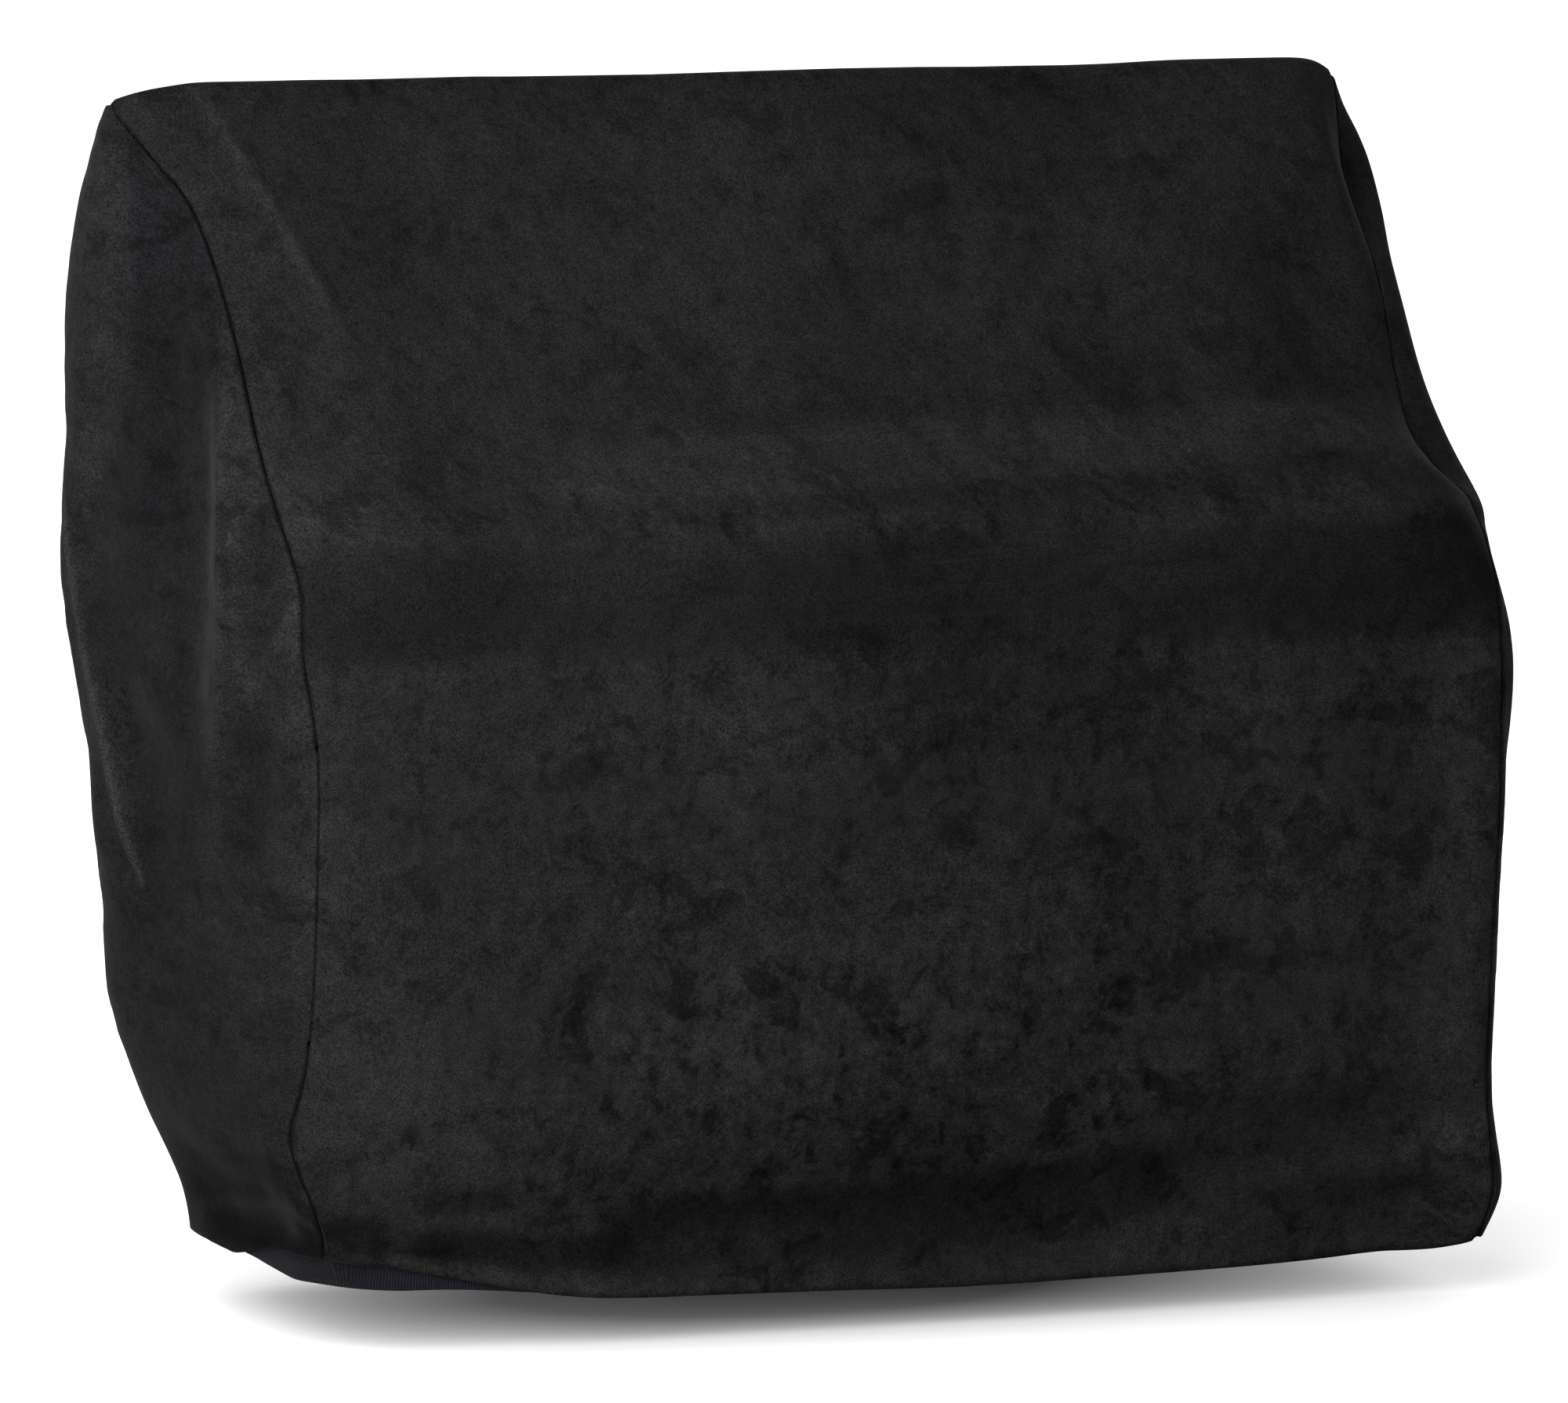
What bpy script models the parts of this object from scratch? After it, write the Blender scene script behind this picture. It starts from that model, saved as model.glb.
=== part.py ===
"""A fitted velour dust cover, in the shape in which it hangs.

Three panels are sewn together: one long strip that runs up the front, over the crest and
down the back, and a panel at each end. A ribbed tape is sewn round the inside of the hem.
The origin is on the inner side of the crest, half way along it. +X is the right-hand end,
-Y is the front and +Z is up.
"""

import math
from collections import namedtuple

import bpy
from mathutils import Vector

# Driving dimensions, in metres
WIDTH = 0.485              # from one end seam to the other
CREST_HEIGHT = 0.4385      # the outside of the crest at its ends, in the heights of the tables below
CREST_SAG = 0.0016         # how far the crest sags between its ends
CLOTH = 0.0020             # thickness of the velour
SEAM_GAP = 0.0004          # each panel's edge stands back this far from the seam line
SEAM_ROLL = 0.0040         # how far a panel's face rolls away towards its seam
SEAM_ROLL_WIDTH = 0.015    # the width of that roll
CREST_CALM = 0.060         # the roll dies out over this distance towards the crest
TAPE = 0.0012              # thickness of the hem tape
TAPE_WIDTH = 0.016
TAPE_GAP = 0.0010          # between the tape and the velour
SLOPE_STEP = 0.002         # the slope of the section is read over this distance on each side
ROW_STEPS = 2              # mesh rows for each row of the section table
CREST_STEPS = 7            # mesh rows for each of the two rows across the crest
TAPE_ROWS = 3              # mesh rows up the width of the hem tape
SHARP_ANGLE = 50           # degrees; mesh edges that turn more than this are drawn sharp

HALF = WIDTH / 2
INSIDE_CREST = CREST_HEIGHT - CREST_SAG - CLOTH

# The section of the cover, from the front hem over the crest to the back hem.
# body: depth and height between the ends, where the cloth is carried from below.
# left, right: each end seam, as how far it stands out past WIDTH / 2, its depth and height.
# reach: how far in from each seam the cloth is drawn out of the body's section, and how
# late it falls to the seam's height (SOFT_FALL is a soft curve, more keeps it up for longer).
SOFT_FALL = 2
FRONT_ROWS = (
    # name          body              left seam                 right seam                reach
    ("hem",         (-0.157, -0.005), (-0.015, -0.131, 0.000),  (0.000, -0.162, 0.001),   (0.060, 0.030, 2)),
    ("tuck",        (-0.1575, 0.020), (-0.014, -0.149, 0.020),  (0.003, -0.170, 0.020),   (0.050, 0.030, 2)),
    ("turn",        (-0.165, 0.041),  (-0.002, -0.166, 0.041),  (0.002, -0.169, 0.038),   (0.045, 0.030, 2)),
    ("buckle",      (-0.170, 0.065),  (0.0045, -0.156, 0.065),  (0.000, -0.167, 0.062),   (0.045, 0.030, 2)),
    ("low",         (-0.1715, 0.086), (0.0015, -0.163, 0.086),  (0.000, -0.167, 0.085),   (0.040, 0.030, 2)),
    ("lower",       (-0.1715, 0.125), (0.000, -0.167, 0.125),   (0.0005, -0.168, 0.125),  (0.040, 0.030, 2)),
    ("middle",      (-0.1705, 0.170), (0.000, -0.168, 0.170),   (0.0015, -0.169, 0.170),  (0.040, 0.030, 2)),
    ("upper",       (-0.169, 0.213),  (0.0005, -0.168, 0.213),  (0.002, -0.166, 0.213),   (0.040, 0.030, 2)),
    ("hollow",      (-0.1675, 0.244), (0.004, -0.159, 0.246),   (0.0015, -0.165, 0.244),  (0.045, 0.035, 2)),
    ("under ledge", (-0.170, 0.267),  (0.004, -0.159, 0.266),   (0.000, -0.155, 0.266),   (0.050, 0.040, 2)),
    ("ledge",       (-0.1665, 0.284), (0.003, -0.143, 0.2825),  (-0.001, -0.141, 0.282),  (0.055, 0.040, 2)),
    ("over ledge",  (-0.143, 0.2965), (0.002, -0.124, 0.299),   (-0.0035, -0.118, 0.290), (0.055, 0.040, 2)),
    ("low slope",   (-0.111, 0.3145), (0.000, -0.104, 0.318),   (-0.0065, -0.099, 0.304), (0.052, 0.040, 2)),
    ("slope",       (-0.084, 0.341),  (-0.0035, -0.079, 0.343), (-0.006, -0.083, 0.328),  (0.044, 0.036, 2)),
    ("high slope",  (-0.060, 0.370),  (-0.0055, -0.053, 0.369), (-0.002, -0.062, 0.360),  (0.036, 0.022, 2)),
    ("shoulder",    (-0.038, 0.398),  (-0.0015, -0.033, 0.396), (0.003, -0.019, 0.391),   (0.034, 0.016, 2)),
    ("neck",        (-0.025, 0.416),  (0.005, -0.017, 0.4088),  (0.0043, -0.0125, 0.406), (0.031, 0.016, 2)),
    ("crest front", (-0.012, 0.4315), (0.0125, 0.007, 0.425),   (0.0068, -0.003, 0.4265), (0.027, 0.017, 2.4)),
)
CREST_ROWS = (
    ("crest",       (0.000, 0.4385),  (0.0117, 0.0145, 0.4293), (0.0075, 0.003, 0.4315),  (0.024, 0.016, 3.5)),
)
BACK_ROWS = (
    ("crest back",  (0.012, 0.433),   (0.0108, 0.0205, 0.427),  (0.008, 0.010, 0.429),    (0.027, 0.020, 2.4)),
    ("back neck",   (0.019, 0.4225),  (0.0103, 0.029, 0.4192),  (0.008, 0.021, 0.4205),   (0.030, 0.026, 2)),
    ("nape",        (0.025, 0.410),   (0.0098, 0.036, 0.4092),  (0.008, 0.031, 0.409),    (0.034, 0.030, 2)),
    ("high back",   (0.035, 0.388),   (0.0082, 0.053, 0.388),   (0.008, 0.048, 0.388),    (0.040, 0.040, 2)),
    ("top swell",   (0.048, 0.360),   (0.0075, 0.064, 0.360),   (0.007, 0.060, 0.360),    (0.050, 0.050, 2)),
    ("upper swell", (0.059, 0.330),   (0.0075, 0.067, 0.330),   (0.007, 0.066, 0.330),    (0.055, 0.055, 2)),
    ("mid swell",   (0.066, 0.300),   (0.0075, 0.064, 0.300),   (0.007, 0.067, 0.300),    (0.055, 0.055, 2)),
    ("swell",       (0.069, 0.270),   (0.0075, 0.068, 0.270),   (0.007, 0.067, 0.270),    (0.055, 0.055, 2)),
    ("low swell",   (0.068, 0.240),   (0.0075, 0.068, 0.240),   (0.007, 0.064, 0.240),    (0.055, 0.055, 2)),
    ("back",        (0.064, 0.210),   (0.007, 0.054, 0.210),    (0.007, 0.059, 0.210),    (0.055, 0.055, 2)),
    ("back middle", (0.059, 0.180),   (0.005, 0.041, 0.180),    (0.006, 0.053, 0.180),    (0.055, 0.055, 2)),
    ("back lower",  (0.054, 0.150),   (0.005, 0.032, 0.150),    (0.005, 0.047, 0.150),    (0.055, 0.055, 2)),
    ("back low",    (0.050, 0.120),   (0.004, 0.028, 0.120),    (0.004, 0.041, 0.120),    (0.055, 0.055, 2)),
    ("back base",   (0.046, 0.090),   (0.001, 0.030, 0.090),    (0.002, 0.035, 0.090),    (0.055, 0.050, 2)),
    ("back turn",   (0.041, 0.060),   (-0.006, 0.019, 0.060),   (-0.003, 0.026, 0.060),   (0.055, 0.050, 2)),
    ("back buckle", (0.036, 0.040),   (-0.013, 0.010, 0.040),   (-0.008, 0.019, 0.040),   (0.060, 0.050, 2)),
    ("back tuck",   (0.032, 0.020),   (-0.020, 0.003, 0.022),   (-0.013, 0.012, 0.020),   (0.060, 0.050, 2)),
    ("back hem",    (0.031, 0.000),   (-0.023, 0.000, 0.006),   (-0.016, 0.009, 0.002),   (0.060, 0.050, 2)),
)

# The places of the mesh columns across the strip: close by the seams, wide in the middle
NEAR_SEAM = (0.0, 0.005, 0.011, 0.018, 0.027, 0.038, 0.051, 0.067, 0.088)
MIDDLE_COLUMNS = 12

# The places of the mesh columns of an end panel, as shares of its width from the front seam
END_SHARES = (0.0, 0.04, 0.09, 0.15, 0.22, 0.29, 0.36, 0.43, 0.50, 0.57, 0.64, 0.72, 0.80, 0.90, 1.0)
GATHER_ROWS = 5            # over the top rows the columns gather evenly towards the crest

# Folds of the strip. path: places across and along it, from the front hem, in metres.
# width: how far the fold runs out on each side of the path; rise: outwards, or inwards
STRIP_FOLDS = (
    # name              path                                                             width  rise
    ("ear hollow",      ((-0.239, 0.53), (-0.239, 0.512), (-0.24, 0.494), (-0.242, 0.472)), 0.013, -0.0045),
    ("left diagonal",   ((-0.226, 0.496), (-0.211, 0.464), (-0.203, 0.425), (-0.195, 0.378),
                         (-0.188, 0.350)),                                           0.020, 0.0030),
    ("right diagonal",  ((0.232, 0.486), (0.236, 0.460), (0.240, 0.436), (0.243, 0.418)), 0.011, 0.0040),
    ("right hollow",    ((0.186, 0.425), (0.191, 0.392), (0.203, 0.358)),            0.026, -0.0035),
    ("ledge fold one",  ((0.200, 0.340), (0.218, 0.326), (0.236, 0.310)),            0.013, 0.0030),
    ("ledge fold two",  ((0.175, 0.322), (0.190, 0.292)),                            0.016, 0.0025),
    ("crest sag",       ((-0.240, 0.5175), (0.240, 0.5175)),                         0.030, -CREST_SAG),
    ("under band",      ((0.100, 0.062), (0.225, 0.064)),                            0.016, -0.0040),
    ("right hem roll",  ((0.140, 0.033), (0.200, 0.038), (0.240, 0.038)),            0.017, 0.0050),
    ("left hem fold",   ((-0.196, 0.046), (-0.126, 0.030)),                          0.013, -0.0030),
    ("back fold one",   ((-0.105, 0.610), (-0.130, 0.780), (-0.120, 0.960)),         0.055, -0.0040),
    ("back fold two",   ((0.045, 0.650), (0.075, 0.830), (0.060, 0.970)),            0.050, -0.0030),
    ("back fold three", ((0.165, 0.600), (0.150, 0.720)),                            0.045, 0.0025),
)

# Folds of the end panels. path: depth and height; width and rise as above
LEFT_END_FOLDS = (
    ("trough",          ((-0.018, 0.400), (-0.016, 0.357), (-0.002, 0.320), (0.017, 0.269),
                         (0.014, 0.221), (0.002, 0.197), (-0.030, 0.165)),                 0.040, -0.0090),
    ("trough side",     ((-0.046, 0.357), (-0.034, 0.320), (-0.018, 0.269), (-0.020, 0.221),
                         (-0.032, 0.197)),                                                 0.035, -0.0050),
    ("sharp ridge",     ((-0.068, 0.352), (-0.086, 0.328), (-0.101, 0.304), (-0.106, 0.276),
                         (-0.110, 0.248), (-0.108, 0.224), (-0.102, 0.206), (-0.088, 0.190)), 0.020, 0.0050),
    ("rear ridge",      ((0.070, 0.245), (0.050, 0.214), (0.030, 0.188), (0.008, 0.157), (-0.011, 0.137)),
     0.020, 0.0080),
    ("rear valley",     ((0.068, 0.205), (0.050, 0.178), (0.030, 0.145)),                  0.016, -0.0060),
    ("seam hollow",     ((-0.120, 0.205), (-0.132, 0.172)),                                0.022, -0.0040),
    ("upper buckle",    ((-0.030, 0.038), (-0.090, 0.046), (-0.138, 0.057)),               0.010, -0.0040),
    ("lower buckle",    ((-0.050, 0.024), (-0.100, 0.028), (-0.150, 0.037)),               0.010, -0.0040),
)
RIGHT_END_FOLDS = (
    ("trough",          ((0.010, 0.350), (-0.020, 0.280), (-0.030, 0.180)),                0.040, -0.0080),
    ("low ridge",       ((-0.140, 0.235), (-0.140, 0.190)),                                0.030, 0.0040),
)
FOLD_ENDS = 0.35           # the share of a fold's rise that is left at its two ends
FOLD_TAPER = 0.25          # the share of its path over which each end comes up to the full rise
FOLD_FADE = 0.012          # all folds die out over this distance towards a seam
END_BOW = 0.004            # how far an end panel bows out half way between its seams
FULL_BOW_SPAN = 0.120      # where an end panel is narrower than this, it bows less

# How far each end panel swells out past its front seam: height, and the swell there
END_SWELL_WIDTH = 0.014
FULL_SWELL_SPAN = 0.050    # where an end panel is narrower than this, it swells less
LEFT_SWELL = ((0.0, 0.0040), (0.437, 0.0040))
RIGHT_SWELL = ((0.000, 0.0085), (0.022, 0.0105), (0.050, 0.0070), (0.080, 0.0075), (0.100, 0.0075),
               (0.130, 0.0065), (0.240, 0.0065), (0.262, 0.0040), (0.280, 0.0090), (0.290, 0.0175),
               (0.300, 0.0200), (0.312, 0.0172), (0.334, 0.0138), (0.357, 0.0090), (0.366, 0.0095),
               (0.378, 0.0152), (0.388, 0.0178), (0.400, 0.0165), (0.418, 0.0105), (0.430, 0.0050))
BACK_SWELL = 0.0045        # and past its back seam, at all heights

# How far the velour's edge and the tape's are raised above the hem row of the section.
# The edge is turned up at the left front corner, where the tape shows below it.
# Each row is a place across the strip, or a share of the way back along the left end.
FRONT_RAISE = ((-0.2425, 0.0225), (-0.2100, 0.0205), (-0.1850, 0.0165), (-0.1600, 0.0105), (-0.1250, 0.0040),
               (-0.0300, 0.0020), (0.0300, 0.0), (0.1000, 0.0005), (0.1650, 0.0015), (0.2050, 0.0040),
               (0.2425, 0.0018))
LEFT_END_RAISE = ((0.0, 0.0225), (0.25, 0.0190), (0.36, 0.0130), (0.43, 0.0070), (0.60, 0.0050), (1.0, 0.0))
FRONT_TAPE_RAISE = ((-0.2425, 0.0075), (-0.2100, 0.0100), (-0.1850, 0.0110), (-0.1500, 0.0080),
                    (-0.1200, 0.0050), (-0.0300, 0.0030), (0.0300, 0.0010), (0.1000, 0.0015),
                    (0.1650, 0.0025), (0.2050, 0.0050), (0.2425, 0.0028))
LEFT_END_TAPE_RAISE = ((0.0, 0.0075), (0.36, 0.0080), (0.60, 0.0065), (1.0, 0.0010))
RIGHT_END_RAISE = ((0.0, 0.0018), (1.0, 0.0))
RIGHT_END_TAPE_RAISE = ((0.0, 0.0028), (1.0, 0.0010))
BACK_TAPE_RAISE = ((-0.2425, 0.0010), (0.2425, 0.0010))
RAISE_FADE = 0.060         # the raise fades out over this height

VELOUR_BLACK = (0.016, 0.016, 0.017, 1.0)
TAPE_NAVY = (0.018, 0.018, 0.028, 1.0)


def smooth(value):
    """A soft step from 0 to 1."""
    value = min(max(value, 0.0), 1.0)
    return value * value * (3.0 - 2.0 * value)


def table_value(rows, place):
    """Straight-line reading of a table of (place, value) rows."""
    if place <= rows[0][0]:
        return rows[0][1]
    for (low, low_value), (high, high_value) in zip(rows, rows[1:]):
        if place <= high:
            return low_value + (high_value - low_value) * (place - low) / (high - low)
    return rows[-1][1]


class SmoothTable:
    """A smooth curve through the rows of a table, read at any place between them."""

    def __init__(self, places, rows):
        self.places = places
        self.rows = [Vector(row) for row in rows]
        last = len(rows) - 1
        self.slopes = []
        for index in range(len(rows)):
            before = max(index - 1, 0)
            after = min(index + 1, last)
            span = places[after] - places[before]
            self.slopes.append((self.rows[after] - self.rows[before]) / span)

    def at(self, place):
        index = 0
        while index < len(self.places) - 2 and place > self.places[index + 1]:
            index += 1
        span = self.places[index + 1] - self.places[index]
        t = min(max((place - self.places[index]) / span, 0.0), 1.0)
        start, end = self.rows[index], self.rows[index + 1]
        start_slope = self.slopes[index] * span
        end_slope = self.slopes[index + 1] * span
        return (start * (2 * t**3 - 3 * t**2 + 1) + start_slope * (t**3 - 2 * t**2 + t)
                + end * (3 * t**2 - 2 * t**3) + end_slope * (t**3 - t**2))


class Section:
    """The cover's section: body, seams and reach at any place along the strip."""

    def __init__(self):
        rows = FRONT_ROWS + CREST_ROWS + BACK_ROWS
        self.places = [0.0]
        for before, after in zip(rows, rows[1:]):
            step = math.dist(before[1], after[1])
            self.places.append(self.places[-1] + step)
        self.crest = self.places[len(FRONT_ROWS)]
        self.body = SmoothTable(self.places, [row[1] for row in rows])
        left = [(-HALF - out, depth, height) for _, _, (out, depth, height), _, _ in rows]
        right = [(HALF + out, depth, height) for _, _, _, (out, depth, height), _ in rows]
        self.seams = {-1: SmoothTable(self.places, left), 1: SmoothTable(self.places, right)}
        self.reach = SmoothTable(self.places, [row[4] for row in rows])
        self.front_places = self.spread(0, len(FRONT_ROWS) - 1, ROW_STEPS)
        self.crest_places = self.spread(len(FRONT_ROWS) - 1, len(FRONT_ROWS) + 1, CREST_STEPS)
        self.back_places = self.spread(len(FRONT_ROWS) + 1, len(rows) - 1, ROW_STEPS)

    def spread(self, first, last, steps):
        """The places from one table row to another, with steps in each row."""
        found = []
        for index in range(first, last):
            low, high = self.places[index], self.places[index + 1]
            found += [low + (high - low) * step / steps for step in range(steps)]
        return found + [self.places[last]]


End = namedtuple("End", "name side folds swell raises")


def path_reading(path, place):
    """The distance from a place to a path, and how far along the path it is nearest."""
    best, best_along = 1e9, 0.0
    lengths = [math.dist(a, b) for a, b in zip(path, path[1:])]
    done = 0.0
    for (a, b), length in zip(zip(path, path[1:]), lengths):
        across = ((place[0] - a[0]) * (b[0] - a[0]) + (place[1] - a[1]) * (b[1] - a[1])) / length**2
        t = min(max(across, 0.0), 1.0)
        near = (a[0] + (b[0] - a[0]) * t, a[1] + (b[1] - a[1]) * t)
        distance = math.dist(near, place)
        if distance < best:
            best, best_along = distance, (done + length * t) / sum(lengths)
        done += length
    return best, best_along


def fold_rise(folds, place):
    """How far all the folds together lift the cloth at a place."""
    total = 0.0
    for _, path, width, rise in folds:
        distance, along = path_reading(path, place)
        if distance < width:
            bell = (1.0 - (distance / width) ** 2) ** 2
            taper = smooth(along / FOLD_TAPER) * smooth((1.0 - along) / FOLD_TAPER)
            ends = FOLD_ENDS + (1.0 - FOLD_ENDS) * taper
            total += rise * bell * ends
    return total


def seam_roll(distance, depth, width):
    """The part of a seam roll that is left at a distance from the seam."""
    return depth * max(1.0 - distance / width, 0.0) ** 2


def strip_point(section, across, along):
    """A point of the strip's outer face; across runs from -HALF to HALF."""
    depth, height = section.body.at(along)
    *reaches, power = section.reach.at(along)
    point = Vector((across, depth, height))
    steep = section.body.at(along + SLOPE_STEP) - section.body.at(along - SLOPE_STEP)
    outward = Vector((0.0, -steep[1], steep[0])).normalized()
    roll = SEAM_ROLL * smooth(abs(along - section.crest) / CREST_CALM)
    for side, reach in zip((-1, 1), reaches):
        distance = HALF - side * across
        edge = section.seams[side].at(along) - Vector((side * HALF, depth, height))
        left_over = max(1.0 - distance / reach, 0.0)
        point.x += edge.x * left_over
        point.y += edge.y * left_over ** min(power, SOFT_FALL)
        point.z += edge.z * left_over ** power
        point += outward * roll * left_over ** SOFT_FALL
        point -= outward * seam_roll(distance, roll, SEAM_ROLL_WIDTH)
    lift = fold_rise(STRIP_FOLDS, (across, along)) * smooth((HALF - abs(across)) / FOLD_FADE)
    return point + outward * lift


def end_point(section, end, back_share, front_along, back_along):
    """A point of an end panel's outer face; back_share runs from 0 at the front seam to 1."""
    front = section.seams[end.side].at(front_along)
    back = section.seams[end.side].at(back_along)
    point = front.lerp(back, back_share)
    span = (back - front).length
    depth = table_value(end.swell, front.z)
    front_swell = depth - seam_roll(span * back_share, depth, END_SWELL_WIDTH)
    back_swell = BACK_SWELL - seam_roll(span * (1.0 - back_share), BACK_SWELL, END_SWELL_WIDTH)
    swell = front_swell + (back_swell - front_swell) * smooth(back_share)
    bow = END_BOW * math.sin(math.pi * back_share) * smooth(span / FULL_BOW_SPAN)
    from_seam = span * min(back_share, 1.0 - back_share)
    lift = fold_rise(end.folds, (point.y, point.z)) * smooth(from_seam / FOLD_FADE)
    point.x += end.side * (swell * smooth(span / FULL_SWELL_SPAN) + bow + lift)
    return point


def grid_normals(grid):
    """The outward direction at each point of a grid, whose columns run rightwards seen from outside."""
    rows, columns = len(grid), len(grid[0])
    normals = []
    for row in range(rows):
        line = []
        for column in range(columns):
            across = grid[row][min(column + 1, columns - 1)] - grid[row][max(column - 1, 0)]
            up = grid[min(row + 1, rows - 1)][column] - grid[max(row - 1, 0)][column]
            line.append(across.cross(up).normalized())
        normals.append(line)
    return normals


def offset_grid(grid, normals, depth):
    """The grid moved inwards by a depth."""
    return [[point - normal * depth for point, normal in zip(points, lines)]
            for points, lines in zip(grid, normals)]


def shell(name, outer, inner, material, closed=False):
    """A closed solid between two grids of points, open or closed round its columns."""
    rows, columns = len(outer), len(outer[0])
    points = [point for line in outer for point in line] + [point for line in inner for point in line]
    second = rows * columns

    def at(row, column):
        return row * columns + column % columns

    faces = []
    last = columns if closed else columns - 1
    for row in range(rows - 1):
        for column in range(last):
            a, b = at(row, column), at(row, column + 1)
            c, d = at(row + 1, column + 1), at(row + 1, column)
            faces.append((a, b, c, d))
            faces.append((second + d, second + c, second + b, second + a))
    for column in range(last):
        a, b = at(0, column), at(0, column + 1)
        faces.append((second + a, second + b, b, a))
        a, b = at(rows - 1, column), at(rows - 1, column + 1)
        faces.append((a, b, second + b, second + a))
    if not closed:
        for row in range(rows - 1):
            a, b = at(row, 0), at(row + 1, 0)
            faces.append((a, b, second + b, second + a))
            a, b = at(row, columns - 1), at(row + 1, columns - 1)
            faces.append((b, a, second + a, second + b))
    mesh = bpy.data.meshes.new(name)
    mesh.from_pydata([point - Vector((0.0, 0.0, INSIDE_CREST)) for point in points], [], faces)
    mesh.shade_smooth()
    mesh.set_sharp_from_angle(angle=math.radians(SHARP_ANGLE))
    mesh.materials.append(material)
    made = bpy.data.objects.new(name, mesh)
    bpy.context.scene.collection.objects.link(made)
    return made


def cloth_material(name, colour, roughness, sheen):
    """A plain cloth finish."""
    material = bpy.data.materials.new(name)
    material.use_nodes = True
    shader = material.node_tree.nodes["Principled BSDF"]
    shader.inputs["Base Color"].default_value = colour
    shader.inputs["Roughness"].default_value = roughness
    shader.inputs["Metallic"].default_value = 0.0
    shader.inputs["Sheen Weight"].default_value = sheen
    return material


def column_places():
    """The places of the strip's mesh columns, from the left seam to the right one."""
    left = [-HALF + distance for distance in NEAR_SEAM]
    right = [-place for place in reversed(left)]
    step = (right[0] - left[-1]) / MIDDLE_COLUMNS
    middle = [left[-1] + step * number for number in range(1, MIDDLE_COLUMNS)]
    return left + middle + right


def raised(places, raise_by):
    """Hem rows moved up by a raise that fades out over the next rows."""
    return [place + raise_by * max(1.0 - place / RAISE_FADE, 0.0) for place in places]


def strip_grid(section):
    """The outer face of the strip: rows from the front hem over the crest to the back hem."""
    columns = column_places()
    grid = []
    front = section.front_places
    rest = section.crest_places[1:] + section.back_places[1:]
    for number in range(len(front)):
        line = []
        for across in columns:
            places = raised(front, table_value(FRONT_RAISE, across))
            line.append(strip_point(section, across, places[number]))
        grid.append(line)
    for along in rest:
        grid.append([strip_point(section, across, along) for across in columns])
    return grid


def end_grid(section, end):
    """The outer face of an end panel, its columns running rightwards seen from outside."""
    total = section.places[-1]
    from_back = [total - place for place in reversed(section.back_places)]
    last = len(section.front_places) - 1
    steps = len(END_SHARES) - 1
    grid = []
    for number in range(last):
        gathered = max(1.0 - (last - number) / GATHER_ROWS, 0.0)
        line = []
        for column, share in enumerate(END_SHARES):
            share += (column / steps - share) * gathered
            raise_by = table_value(end.raises, share)
            front_along = raised(section.front_places, raise_by)[number]
            back_along = total - raised(from_back, raise_by)[number]
            line.append(end_point(section, end, share, front_along, back_along))
        grid.append(line)
    grid.append([section.seams[end.side].at(along) for along in section.crest_places])
    if end.side < 0:
        grid = [list(reversed(line)) for line in grid]
    return grid


def share_edges(strip, strip_normals, end, end_normals, side, front_count, crest_count):
    """Give the strip and an end panel one direction at each point of their seam."""
    strip_column = 0 if side < 0 else len(strip[0]) - 1
    front_column, back_column = (len(end[0]) - 1, 0) if side < 0 else (0, len(end[0]) - 1)
    pairs = []
    for row in range(front_count):
        pairs.append((row, (row, front_column)))
    for step in range(1, crest_count - 1):
        column = front_column + (step if side > 0 else -step)
        pairs.append((front_count - 1 + step, (front_count - 1, column)))
    for row in range(front_count):
        strip_row = front_count + crest_count - 2 + row
        pairs.append((strip_row, (front_count - 1 - row, back_column)))
    for strip_row, (end_row, end_column) in pairs:
        joint = strip_normals[strip_row][strip_column] + end_normals[end_row][end_column]
        joint.normalize()
        strip_normals[strip_row][strip_column] = joint
        end_normals[end_row][end_column] = joint


def stand_back(grid, normals, edge):
    """A copy of a grid with a seam edge moved back from the seam line.

    edge holds the row and column of each of its points, clockwise seen from outside.
    """
    moved = [list(line) for line in grid]
    last = len(edge) - 1
    for number, (row, column) in enumerate(edge):
        row_before, column_before = edge[max(number - 1, 0)]
        row_after, column_after = edge[min(number + 1, last)]
        tangent = grid[row_after][column_after] - grid[row_before][column_before]
        inward = tangent.cross(normals[row][column]).normalized()
        moved[row][column] = grid[row][column] + inward * SEAM_GAP
    return moved


def hem_patch(points_at, places, raises):
    """Rows of points up the width of the hem tape, and their outward directions."""
    grid = []
    for row in range(TAPE_ROWS):
        up = TAPE_WIDTH * row / (TAPE_ROWS - 1)
        line = [points_at(place, table_value(raises, place) + up) for place in places]
        grid.append(line)
    return grid, grid_normals(grid)


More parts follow.
